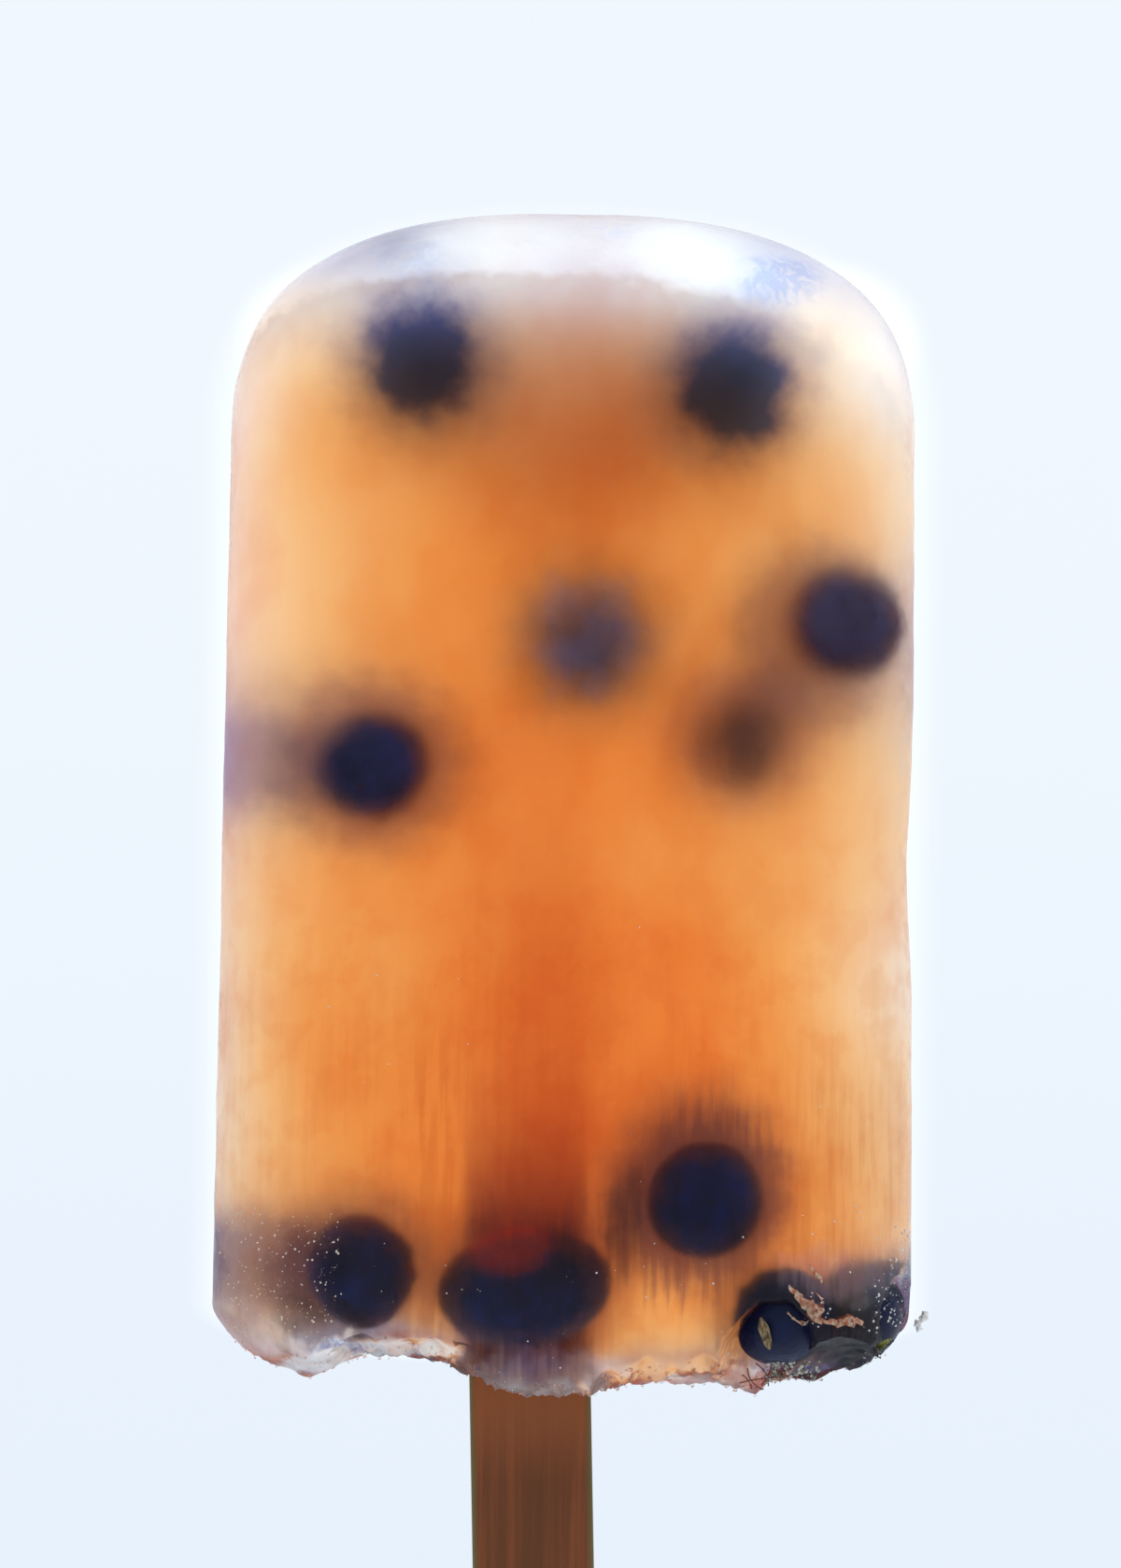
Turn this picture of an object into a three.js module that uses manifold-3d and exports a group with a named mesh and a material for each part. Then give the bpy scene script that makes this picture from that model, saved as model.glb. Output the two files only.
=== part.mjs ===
// An ice lolly: a slab of amber ice with blueberries frozen into it, on a flat wooden stick.
// It lies on its flat back face. +X runs across it, +Y towards the rounded tip, and +Z up out
// of the front face. Millimetres. The origin is under the middle of the whole lolly.
import * as THREE from "three";
import { mergeVertices } from "three/addons/utils/BufferGeometryUtils.js";
import Module from "manifold-3d";

// Driving sizes of the ice. Its own y runs from 0 at the base to ICE_LENGTH at the tip.
const ICE_LENGTH = 95.5;
const HALF_WIDTH_AT_BASE = 28.7;
const HALF_WIDTH_AT_TIP = 28.0;
const THICKNESS_AT_BASE = 24;
const THICKNESS_AT_TIP = 20.5;
const SIDE_ROUND = 9; // radius of the four long edges

// The tip, rounded as a superellipse seen from the front and from the side
const TIP_RISE = 19;
const TIP_POWER = 2.6;
const TIP_ROUND = 9;
const TIP_ROUND_POWER = 2.2;

// The base, where the mould was open: small corners, and a surface that froze uneven
const BASE_CORNER = 5;
const BASE_EDGE_ROUND = 1.8;
const BASE_RELIEF_REACH = 8;
const BASE_BUMP = 0.35;
const BASE_DRAWN_BACK = 1.3; // how far the base lies inside the plain length
const BASE_SWELLS = [
  { x: -29.0, width: 3.4, out: -1.1 },
  { x: -20.4, width: 1.5, out: 0.6 }, // crust at the left corner
  { x: -14.2, width: 3.2, out: -1.5 }, // hollow beside the stick
  { x: -9.3, width: 2.4, out: -0.7 },
  { x: -1.6, width: 5.0, out: 1.95 }, // ice that crept along the stick
  { x: 3.6, width: 2.2, out: 0.9 },
  { x: 9.0, width: 2.0, out: 0.7 },
  { x: 15.0, width: 2.4, out: 1.5 }, // ragged ridge
  { x: 19.0, width: 3.4, out: 0.6 },
  { x: 25.6, width: 1.8, out: -0.5 },
];

// Ice broken off the base's right corner, as facetted scoops that lay two berries bare
const CHIPS = [
  { middle: [16.8, 0.8, 25.5], radii: [4.4, 6.6, 7], turn: [0, 0, -8] },
  { middle: [22.5, -1.6, 26], radii: [8, 5.8, 9.5], turn: [0, 0, 10] },
  { middle: [30.5, 2.2, 20], radii: [4.5, 7.6, 8], turn: [0, 0, 20] },
];

// The stick, a bare wooden blade with round ends, set a little off the middle
const STICK_LENGTH = 114;
const STICK_WIDTH = 10;
const STICK_THICKNESS = 2;
const STICK_IN_ICE = 54;
const STICK_EDGE = 0.3;
const STICK_X_AT_BASE = -2.5;
const STICK_Z = 11;
const STICK_LEAN = THREE.MathUtils.degToRad(1.8);
const STICK_OUT = STICK_LENGTH - STICK_IN_ICE;

// The room that the ice leaves round the stick and round each berry
const STICK_CLEARANCE = 0.3;
const BERRY_CLEARANCE = 0.45;
const SKIN_DEPTH = 0.15; // how near to a face of the ice a berry's skin comes

const MIDDLE_Y = (ICE_LENGTH - STICK_OUT) / 2;

// How finely the ice is cut into facets
const FACE_STEPS = 14;
const WALL_STEPS = 2;
const CORNER_STEPS = 6;
const SIDE_STATIONS = 8;
const TIP_STATIONS = 11;
const BASE_STATIONS = [0, 0.25, 0.8, 1.8, 3.2];
const CAP_RINGS = [0.8, 0.55, 0.28];

const mix = (from, to, share) => from + (to - from) * share;
const smooth = (t) => t * t * (3 - 2 * t);
const thicknessAt = (y) => mix(THICKNESS_AT_BASE, THICKNESS_AT_TIP, y / ICE_LENGTH);
const halfWidthAt = (y) => mix(HALF_WIDTH_AT_BASE, HALF_WIDTH_AT_TIP, y / ICE_LENGTH);

// How far a rounded corner of this radius has drawn back, at a distance from its end
const drawnBack = (radius, distance) =>
  distance >= radius ? 0 : radius - Math.sqrt(radius ** 2 - (radius - distance) ** 2);

// Half the ice's thickness at y, which shrinks to nothing at the tip
function halfThicknessAt(y) {
  const full = thicknessAt(y) / 2;
  const into = Math.max(0, (y - (ICE_LENGTH - TIP_ROUND)) / TIP_ROUND);
  const round = (1 - Math.min(1, into) ** TIP_ROUND_POWER) ** (1 / TIP_ROUND_POWER);
  return full * round - drawnBack(BASE_EDGE_ROUND, y);
}

// The cross-sections from base to tip, each as y, half width and half thickness
function stations() {
  const found = BASE_STATIONS.map((y) => ({
    y,
    across: halfWidthAt(y) - drawnBack(BASE_CORNER, y),
  }));
  const shoulder = ICE_LENGTH - TIP_RISE;
  for (let i = 0; i < SIDE_STATIONS; i++) {
    const y = mix(BASE_CORNER, shoulder, i / SIDE_STATIONS);
    found.push({ y, across: halfWidthAt(y) });
  }
  for (let i = 0; i < TIP_STATIONS; i++) {
    const turn = ((i / TIP_STATIONS) * Math.PI) / 2;
    const y = shoulder + TIP_RISE * Math.sin(turn) ** (2 / TIP_POWER);
    found.push({ y, across: halfWidthAt(y) * Math.cos(turn) ** (2 / TIP_POWER) });
  }
  return found.map((s) => ({ ...s, deep: halfThicknessAt(s.y) }));
}

// A rounded rectangle in x and z, always with the same number of points, counter-clockwise
// as seen from the base
function section({ across, deep }) {
  const radius = Math.min(SIDE_ROUND, across, deep);
  const flat = across - radius;
  const wall = deep - radius;
  const points = [];
  const corner = (x, z, start) => {
    for (let i = 0; i < CORNER_STEPS; i++) {
      const turn = start + ((i / CORNER_STEPS) * Math.PI) / 2;
      points.push([x + radius * Math.cos(turn), z + radius * Math.sin(turn)]);
    }
  };
  const line = (fromX, fromZ, toX, toZ, steps) => {
    for (let i = 0; i < steps; i++) {
      points.push([mix(fromX, toX, i / steps), mix(fromZ, toZ, i / steps)]);
    }
  };
  line(-flat, -deep, flat, -deep, FACE_STEPS);
  corner(flat, -wall, -Math.PI / 2);
  line(across, -wall, across, wall, WALL_STEPS);
  corner(flat, wall, 0);
  line(flat, deep, -flat, deep, FACE_STEPS);
  corner(-flat, wall, Math.PI / 2);
  line(-across, wall, -across, -wall, WALL_STEPS);
  corner(-flat, -wall, Math.PI);
  return points;
}

// How far the base stands out at x and z: a few broad swells, and low bumps over them
function baseStandsOut(x, z) {
  const bumps = BASE_BUMP * Math.sin(0.8 * x + 0.5 * z + 1) * Math.sin(0.6 * z - 0.45 * x);
  return BASE_SWELLS.reduce(
    (sum, swell) => sum + swell.out * Math.exp(-(((x - swell.x) / swell.width) ** 2)),
    bumps - BASE_DRAWN_BACK,
  );
}

// Moves a point of the plain slab to where the uneven base leaves it.
function weathered(point) {
  const near = Math.max(0, 1 - point.y / BASE_RELIEF_REACH);
  point.y -= baseStandsOut(point.x, point.z) * smooth(near);
  return point;
}

// The slab of ice, before anything is set into it: rings of points with a cap at each end
function iceGeometry() {
  const rings = stations().map((s) =>
    section(s).map(([x, z]) => new THREE.Vector3(x, s.y, thicknessAt(s.y) / 2 + z)),
  );
  const [baseRing] = rings;
  const baseMiddle = new THREE.Vector3(0, 0, THICKNESS_AT_BASE / 2);
  for (const scale of CAP_RINGS) {
    rings.unshift(baseRing.map((p) => baseMiddle.clone().lerp(p, scale)));
  }
  const tip = new THREE.Vector3(0, ICE_LENGTH, thicknessAt(ICE_LENGTH) / 2);
  const points = [baseMiddle, ...rings.flat(), tip].map(weathered);

  const around = baseRing.length;
  const at = (ring, i) => 1 + ring * around + (i % around);
  const triangles = [];
  for (let i = 0; i < around; i++) {
    triangles.push(0, at(0, i), at(0, i + 1));
    triangles.push(points.length - 1, at(rings.length - 1, i + 1), at(rings.length - 1, i));
    for (let ring = 0; ring + 1 < rings.length; ring++) {
      triangles.push(at(ring, i), at(ring + 1, i), at(ring + 1, i + 1));
      triangles.push(at(ring, i), at(ring + 1, i + 1), at(ring, i + 1));
    }
  }
  const geometry = new THREE.BufferGeometry().setFromPoints(points);
  geometry.setIndex(triangles);
  return geometry;
}

// A blade with round ends, made lying in x and y with its middle at the origin
function stickGeometry(spare) {
  const edge = STICK_EDGE + spare;
  const half = STICK_WIDTH / 2 + spare - edge;
  const reach = STICK_LENGTH / 2 + spare - edge - half;
  const outline = new THREE.Shape();
  outline.absarc(0, reach, half, 0, Math.PI);
  outline.absarc(0, -reach, half, Math.PI, 2 * Math.PI);
  const depth = STICK_THICKNESS + 2 * (spare - edge);
  const geometry = new THREE.ExtrudeGeometry(outline, {
    depth,
    curveSegments: 14,
    bevelThickness: edge,
    bevelSize: edge,
    bevelSegments: 1,
  });
  return geometry.translate(0, 0, -depth / 2);
}

// A blueberry of radius 1: a slightly flat ball with its five-lobed crown round a dimple
const BERRY_HEIGHT = 0.9;
const BERRY_SIDES = 16;
const BALL_STEPS = 7;
const CROWN_STARTS = THREE.MathUtils.degToRad(60);
const CROWN = [
  [0.43, 0.82],
  [0.42, 0.87],
  [0.33, 0.85],
  [0.2, 0.75],
  [0, 0.73],
];
const CROWN_LOBES = 5;
const LOBE_HEIGHT = 0.02;

function berryGeometry() {
  const profile = [];
  for (let i = 0; i <= BALL_STEPS; i++) {
    const angle = mix(-Math.PI / 2, CROWN_STARTS, i / BALL_STEPS);
    const out = i === 0 ? 0 : Math.cos(angle);
    profile.push(new THREE.Vector2(out, BERRY_HEIGHT * Math.sin(angle)));
  }
  profile.push(...CROWN.map(([out, up]) => new THREE.Vector2(out, up)));
  const geometry = new THREE.LatheGeometry(profile, BERRY_SIDES);
  const places = geometry.getAttribute("position");
  for (let i = 0; i < places.count; i++) {
    const out = Math.hypot(places.getX(i), places.getZ(i));
    if (places.getY(i) > CROWN[0][1] && out > CROWN[3][0]) {
      const lobe = Math.cos(CROWN_LOBES * Math.atan2(places.getZ(i), places.getX(i)));
      places.setY(i, places.getY(i) + LOBE_HEIGHT * lobe);
    }
  }
  return geometry;
}

// The berries, each with its skin at a face of the ice. "at" says which face that is: front
// is the face on top as it lies, back the one below, edge the long round edge between front
// and side, and base the broken corner. The crown points along +Y before the turn, which is
// in degrees.
const BERRIES = [
  { name: "berry_tip_left", at: "back", x: -12.8, y: 83.3, radius: 4.7, turn: [70, 0, 35] },
  { name: "berry_tip_right", at: "back", x: 13.1, y: 81.6, radius: 4.7, turn: [110, 0, -20] },
  { name: "berry_upper_middle", at: "back", x: 1.5, y: 60.2, radius: 4.9, turn: [35, 0, 60] },
  { name: "berry_upper_right", at: "edge", x: 22.2, y: 62.0, radius: 4.9, turn: [60, 0, 140] },
  { name: "berry_middle_right", at: "back", x: 14.3, y: 52.0, radius: 4.4, turn: [150, 0, 10] },
  { name: "berry_middle_left", at: "front", x: -16.0, y: 49.8, radius: 4.9, turn: [20, 0, 200] },
  { name: "berry_lower_right", at: "front", x: 11.6, y: 14.8, radius: 4.9, turn: [-60, 0, 30] },
  {
    name: "berry_by_stick",
    at: "front",
    x: -3.0,
    y: 7.5,
    radius: 5.2,
    widen: 1.38,
    turn: [50, 0, 12],
  },
  { name: "berry_lower_left", at: "front", x: -16.3, y: 8.7, radius: 4.7, turn: [40, 0, -70] },
  { name: "berry_base_right", at: "base", x: 17.9, y: 5.5, z: 18.8, radius: 4.2, turn: [15, 0, 40] },
  { name: "berry_corner", at: "base", x: 24.3, y: 5.7, z: 12.6, radius: 4.2, turn: [120, 0, 65] },
];

const turnOf = (facts) => new THREE.Euler(...facts.turn.map(THREE.MathUtils.degToRad));

// Half the size of a berry's ball along its own axes, with some room added
const halfSizes = ({ radius, widen = 1 }, spare = 0) =>
  new THREE.Vector3(radius * widen + spare, radius * BERRY_HEIGHT + spare, radius + spare);

// How far a turned berry reaches from its middle along a direction
function reachOf(facts, direction) {
  const turned = new THREE.Quaternion().setFromEuler(turnOf(facts)).invert();
  return direction.clone().applyQuaternion(turned).multiply(halfSizes(facts)).length();
}

// Where a berry's middle goes, so that its skin comes just to its face of the ice
function berryPlace(facts) {
  const { at, x, y, z } = facts;
  const deep = reachOf(facts, new THREE.Vector3(0, 0, 1)) + SKIN_DEPTH;
  if (at === "front") return new THREE.Vector3(x, y, thicknessAt(y) - deep);
  if (at === "back") return new THREE.Vector3(x, y, deep);
  if (at === "base") return new THREE.Vector3(x, y, z);
  const slant = new THREE.Vector3(Math.sign(x), 0, 1).normalize();
  const out = SIDE_ROUND - reachOf(facts, slant) - SKIN_DEPTH;
  const edgeX = Math.sign(x) * (halfWidthAt(y) - SIDE_ROUND);
  return slant.multiplyScalar(out).add(new THREE.Vector3(edgeX, y, thicknessAt(y) - SIDE_ROUND));
}

const wasm = await Module();
wasm.setup();

// A mesh's shape, where it lies, as a solid that can be joined and cut
function solidOf(mesh) {
  mesh.updateMatrixWorld(true);
  const bare = mesh.geometry.clone().applyMatrix4(mesh.matrixWorld);
  bare.deleteAttribute("normal");
  bare.deleteAttribute("uv");
  const merged = mergeVertices(bare, 1e-4);
  return new wasm.Manifold(
    new wasm.Mesh({
      numProp: 3,
      vertProperties: new Float32Array(merged.getAttribute("position").array),
      triVerts: new Uint32Array(merged.index.array),
    }),
  );
}

function geometryOf(solid) {
  const { vertProperties, triVerts } = solid.getMesh();
  const geometry = new THREE.BufferGeometry();
  geometry.setAttribute("position", new THREE.BufferAttribute(vertProperties, 3));
  geometry.setIndex(new THREE.BufferAttribute(triVerts, 1));
  geometry.computeVertexNormals();
  return geometry;
}

const iceMaterial = new THREE.MeshStandardMaterial({
  color: 0xe08a3c,
  roughness: 0.25,
  metalness: 0,
  transparent: true,
  opacity: 0.6,
});
const woodMaterial = new THREE.MeshStandardMaterial({ color: 0x9a6a45, roughness: 0.7, metalness: 0 });
const berryMaterial = new THREE.MeshStandardMaterial({ color: 0x23233f, roughness: 0.45, metalness: 0 });

function stick(spare = 0) {
  const mesh = new THREE.Mesh(stickGeometry(spare), woodMaterial);
  mesh.name = "stick";
  const middleY = STICK_IN_ICE - STICK_LENGTH / 2;
  const middleX = STICK_X_AT_BASE - middleY * Math.tan(STICK_LEAN);
  mesh.position.set(middleX, middleY, STICK_Z);
  mesh.rotation.z = STICK_LEAN;
  return mesh;
}

function berry(facts) {
  const mesh = new THREE.Mesh(berryGeometry(), berryMaterial);
  mesh.name = facts.name;
  mesh.scale.set(facts.radius * (facts.widen ?? 1), facts.radius, facts.radius);
  mesh.position.copy(berryPlace(facts));
  mesh.rotation.copy(turnOf(facts));
  return mesh;
}

// The rounded room that the ice leaves for a berry
function berryRoom(facts) {
  const mesh = new THREE.Mesh(new THREE.SphereGeometry(1, 16, 10), iceMaterial);
  mesh.scale.copy(halfSizes(facts, BERRY_CLEARANCE));
  mesh.position.copy(berryPlace(facts));
  mesh.rotation.copy(turnOf(facts));
  return mesh;
}

function chip({ middle, radii, turn }) {
  const mesh = new THREE.Mesh(new THREE.IcosahedronGeometry(1, 1), iceMaterial);
  mesh.scale.set(...radii);
  mesh.position.set(...middle);
  mesh.rotation.set(...turn.map(THREE.MathUtils.degToRad));
  return mesh;
}

// The slab, chipped at its corner, with room for the stick and the berries
function ice() {
  const slab = solidOf(new THREE.Mesh(iceGeometry(), iceMaterial));
  const gone = [...CHIPS.map(chip), stick(STICK_CLEARANCE), ...BERRIES.map(berryRoom)];
  const carved = gone.reduce((left, mesh) => left.subtract(solidOf(mesh)), slab);
  const mesh = new THREE.Mesh(geometryOf(carved), iceMaterial);
  mesh.name = "ice";
  return mesh;
}

const lolly = new THREE.Group();
lolly.add(ice(), stick(), ...BERRIES.map(berry));
lolly.position.y = -MIDDLE_Y;

export default lolly;
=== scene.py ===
"""An ice lolly: amber ice with blueberries frozen into it, on a flat stick, lit from beneath.

It lies on its back on a pale floor that glows like a light table, seen from straight above.
Sizes are millimetres, in the lolly's own axes: x across it, y from its base (0) towards its
tip, z up from the floor. The frame's y starts at the middle of the whole lolly, and the frame
is in metres, so every point goes through in_frame().
"""
import math
import random

import bmesh
import bpy
from mathutils import Euler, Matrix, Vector, noise
from mathutils.bvhtree import BVHTree


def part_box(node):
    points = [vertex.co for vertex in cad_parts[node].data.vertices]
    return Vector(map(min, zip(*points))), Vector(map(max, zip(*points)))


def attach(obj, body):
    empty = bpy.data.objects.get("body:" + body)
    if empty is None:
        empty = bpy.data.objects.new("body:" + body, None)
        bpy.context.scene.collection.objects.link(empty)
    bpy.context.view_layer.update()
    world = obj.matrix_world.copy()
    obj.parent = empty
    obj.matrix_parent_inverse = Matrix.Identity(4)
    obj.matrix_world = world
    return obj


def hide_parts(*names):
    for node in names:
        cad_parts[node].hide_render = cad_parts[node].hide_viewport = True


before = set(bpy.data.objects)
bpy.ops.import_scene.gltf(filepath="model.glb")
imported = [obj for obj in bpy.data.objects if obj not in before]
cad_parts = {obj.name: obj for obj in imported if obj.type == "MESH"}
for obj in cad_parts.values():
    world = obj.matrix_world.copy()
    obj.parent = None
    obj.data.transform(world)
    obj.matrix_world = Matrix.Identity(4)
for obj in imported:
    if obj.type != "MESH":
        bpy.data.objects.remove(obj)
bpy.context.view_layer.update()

MM = 0.001

# The ice, as in the solids
ICE_LENGTH = 95.5
HALF_WIDTH_AT_BASE = 28.7
HALF_WIDTH_AT_TIP = 28.0
THICKNESS_AT_BASE = 24.0
THICKNESS_AT_TIP = 20.5
SIDE_ROUND = 9.0
TIP_RISE = 19.0
TIP_POWER = 2.6
TIP_ROUND = 9.0
TIP_ROUND_POWER = 2.2
BASE_CORNER = 5.0
BASE_EDGE_ROUND = 1.8
BASE_RELIEF_REACH = 8.0
BASE_BUMP = 0.35
BASE_DRAWN_BACK = 1.3
BASE_SWELLS = (  # x, width, how far out
    (-29.0, 3.4, -1.1),
    (-20.4, 1.5, 0.6),
    (-14.2, 3.2, -1.5),
    (-9.3, 2.4, -0.7),
    (-1.6, 5.0, 1.95),
    (3.6, 2.2, 0.9),
    (9.0, 2.0, 0.7),
    (15.0, 2.4, 1.5),
    (19.0, 3.4, 0.6),
    (25.6, 1.8, -0.5),
)
CHIPS = (  # middle, radii, turn about z in degrees
    ((16.8, 0.8, 25.5), (4.4, 6.6, 7.0), -8),
    ((22.5, -1.6, 26.0), (8.0, 5.8, 9.5), 10),
    ((30.5, 2.2, 20.0), (4.5, 7.6, 8.0), 20),
)

# The stick, as in the solids
STICK_LENGTH = 114.0
STICK_WIDTH = 10.0
STICK_THICKNESS = 2.0
STICK_IN_ICE = 54.0
STICK_X_AT_BASE = -2.5
STICK_Z = 11.0
STICK_LEAN = math.radians(1.8)

# The berries, as in the solids: where, radius, how much wider, and turn in degrees
SKIN_DEPTH = 0.15
BERRY_HEIGHT = 0.9
BERRIES = {
    "berry_tip_left": ("back", (-12.8, 83.3), 4.7, 1, (70, 0, 35)),
    "berry_tip_right": ("back", (13.1, 81.6), 4.7, 1, (110, 0, -20)),
    "berry_upper_middle": ("back", (1.5, 60.2), 4.9, 1, (35, 0, 60)),
    "berry_upper_right": ("edge", (22.2, 62.0), 4.9, 1, (60, 0, 140)),
    "berry_middle_right": ("back", (14.3, 52.0), 4.4, 1, (150, 0, 10)),
    "berry_middle_left": ("front", (-16.0, 49.8), 4.9, 1, (20, 0, 200)),
    "berry_lower_right": ("front", (11.6, 14.8), 4.9, 1, (-60, 0, 30)),
    "berry_by_stick": ("front", (-3.0, 7.5), 5.2, 1.38, (50, 0, 12)),
    "berry_lower_left": ("front", (-16.3, 8.7), 4.7, 1, (40, 0, -70)),
    "berry_base_right": ("base", (17.9, 5.5, 18.8), 4.2, 1, (15, 0, 40)),
    "berry_corner": ("base", (24.3, 5.7, 12.6), 4.2, 1, (120, 0, 65)),
}

# The frame's y at the lolly's y of 0
FRAME_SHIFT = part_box("ice")[1].y / MM - ICE_LENGTH


def in_frame(point):
    return Vector((point[0], point[1] + FRAME_SHIFT, point[2])) * MM


def mix(start, end, share):
    return start + (end - start) * share


def smooth(share):
    share = min(1.0, max(0.0, share))
    return share * share * (3 - 2 * share)


def bell(distance, width):
    return math.exp(-((distance / width) ** 2))


# ---------------------------------------------------------------- meshes


def new_object(name, points, faces, material):
    """A mesh of points in the lolly's own millimetres, riding with the lolly."""
    mesh = bpy.data.meshes.new(name)
    mesh.from_pydata([in_frame(p) for p in points], [], faces)
    mesh.validate()
    mesh.materials.append(material)
    piece = bpy.data.objects.new(name, mesh)
    bpy.context.scene.collection.objects.link(piece)
    fix_normals(mesh)
    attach(piece, "root")
    return piece


def fix_normals(mesh):
    shape = bmesh.new()
    shape.from_mesh(mesh)
    bmesh.ops.recalc_face_normals(shape, faces=shape.faces)
    shape.to_mesh(mesh)
    shape.free()
    mesh.polygons.foreach_set("use_smooth", [True] * len(mesh.polygons))
    mesh.update()


def loft(rings, first, last):
    """Points and faces of a closed skin over rings of equal length, with a point at each end."""
    around = len(rings[0])
    points = [first, *(p for ring in rings for p in ring), last]
    faces = []
    for i in range(around):
        j = (i + 1) % around
        for k in range(len(rings) - 1):
            a, b = 1 + k * around, 1 + (k + 1) * around
            faces.append((a + i, a + j, b + j, b + i))
        end = 1 + (len(rings) - 1) * around
        faces.append((0, 1 + j, 1 + i))
        faces.append((len(points) - 1, end + i, end + j))
    return points, faces


# ------------------------------------------------------------- materials

RANGE_ENDS = ("From Min", "From Max", "To Min", "To Max")


class Look:
    """A material and short ways to add nodes to it. Lengths are millimetres."""

    def __init__(self, name):
        self.material = bpy.data.materials.new(name)
        self.material.use_nodes = True
        self.tree = self.material.node_tree
        self.tree.nodes.clear()
        self.output = self.add("ShaderNodeOutputMaterial")
        place = self.add("ShaderNodeTexCoord").outputs["Object"]
        place = self.vector("MULTIPLY", place, [1 / MM] * 3)
        self.place = self.vector("ADD", place, (0, -FRAME_SHIFT, 0))

    def add(self, kind, inputs=None, **settings):
        node = self.tree.nodes.new(kind)
        for name, value in settings.items():
            setattr(node, name, value)
        for name, value in (inputs or {}).items():
            socket = node.inputs[name]
            if isinstance(value, bpy.types.NodeSocket):
                self.tree.links.new(value, socket)
            else:
                socket.default_value = value
        return node

    def maths(self, operation, first, second=0.0):
        node = self.add("ShaderNodeMath", {0: first, 1: second}, operation=operation)
        return node.outputs[0]

    def product(self, first, *others):
        for other in others:
            first = self.maths("MULTIPLY", first, other)
        return first

    def vector(self, operation, *terms):
        node = self.add("ShaderNodeVectorMath", dict(enumerate(terms)), operation=operation)
        return node.outputs["Value" if operation == "LENGTH" else "Vector"]

    def ranged(self, value, low, high, to_low=0.0, to_high=1.0):
        inputs = {"Value": value, **dict(zip(RANGE_ENDS, (low, high, to_low, to_high)))}
        return self.add("ShaderNodeMapRange", inputs, interpolation_type="SMOOTHSTEP").outputs[0]

    def along(self, axis):
        return self.add("ShaderNodeSeparateXYZ", {0: self.place}).outputs[axis]

    def clouds(self, size, detail=2.0, stretch=(1, 1, 1), shift=(0, 0, 0)):
        """Perlin noise with features of this size, drawn out along an axis by stretch."""
        scale = [1 / (size * s) for s in stretch]
        place = {"Vector": self.place, "Scale": scale, "Location": shift}
        place = self.add("ShaderNodeMapping", place).outputs[0]
        grain = {"Vector": place, "Scale": 1.0, "Detail": detail}
        return self.add("ShaderNodeTexNoise", grain).outputs["Fac"]

    def spot(self, middle, reach, core=0.0):
        """1 up to this share of the reach in x and y, falling to 0, all through the ice."""
        size = (1 / reach[0], 1 / reach[1], 0)
        start = (-middle[0] / reach[0], -middle[1] / reach[1], 0)
        far = self.vector("LENGTH", self.vector("MULTIPLY_ADD", self.place, size, start))
        return self.ranged(far, 1.0, core)

    def blend(self, under, over, share, how="MIX"):
        node = self.add(
            "ShaderNodeMix", {0: share, 6: under, 7: over}, data_type="RGBA", blend_type=how
        )
        return node.outputs[2]

    def mixed(self, under, over, share):
        """A shader between two others."""
        node = self.add("ShaderNodeMixShader", {0: share})
        self.tree.links.new(under.outputs[0], node.inputs[1])
        self.tree.links.new(over.outputs[0], node.inputs[2])
        return node

    def bump(self, height, depth):
        """A bump whose full height is this many millimetres."""
        inputs = {"Height": height, "Strength": 1.0, "Distance": depth * MM}
        return self.add("ShaderNodeBump", inputs).outputs[0]

    def show(self, surface, volume=None):
        self.tree.links.new(surface.outputs[0], self.output.inputs["Surface"])
        if volume is not None:
            self.tree.links.new(volume.outputs[0], self.output.inputs["Volume"])
        return self.material


def colour(red, green, blue):
    return (red, green, blue, 1.0)


def absorber(look, taken, density):
    """A clear filling that takes these shares of red, green and blue, for each metre."""
    left = [1 - share / density for share in taken]
    return look.add("ShaderNodeVolumeAbsorption", {"Color": colour(*left), "Density": density})


WHITE = colour(1, 1, 1)

# The ice itself, clear and slightly warm, and the amber heart in it
ICE_IOR = 1.31
ICE_TAKES = (0.0, 0.8, 1.8)
ICE_DENSITY = 20.0
HEART_TAKES = (5.5, 69.0, 168.0)
HEART_DENSITY = 260.0

# The clear band round the tip, which is wider on the right: its inner edge is a curve
# (across / reach) ^ power + (up / rise) ^ power = 1
BAND_START = 76.5
BAND_RISE = 13.3
BAND_MIDDLE = (-6.0, 6.0)  # x where the left side goes over into the right side
BAND_POWER = (3.2, 1.8)  # at the left and at the right
BAND_REACH = (28.3, 27.2)
BAND_EDGE = (1.13, 0.91)
BAND_UNEVEN = 0.05

# The share of each colour that gets through each face of the ice
PATCH_TINT = colour(0.97, 0.83, 0.74)  # broad patches
MOTTLE_TINT = colour(0.95, 0.83, 0.74)  # small marks in the lower half
STREAK_TINT = colour(0.70, 0.55, 0.46)  # upright streaks near the base
BAND_SHADE_TINT = colour(0.79, 0.73, 0.70)  # painted shade just below the clear band
VEIL_TINT = colour(0.60, 0.34, 0.42)  # over the broken corner
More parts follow.
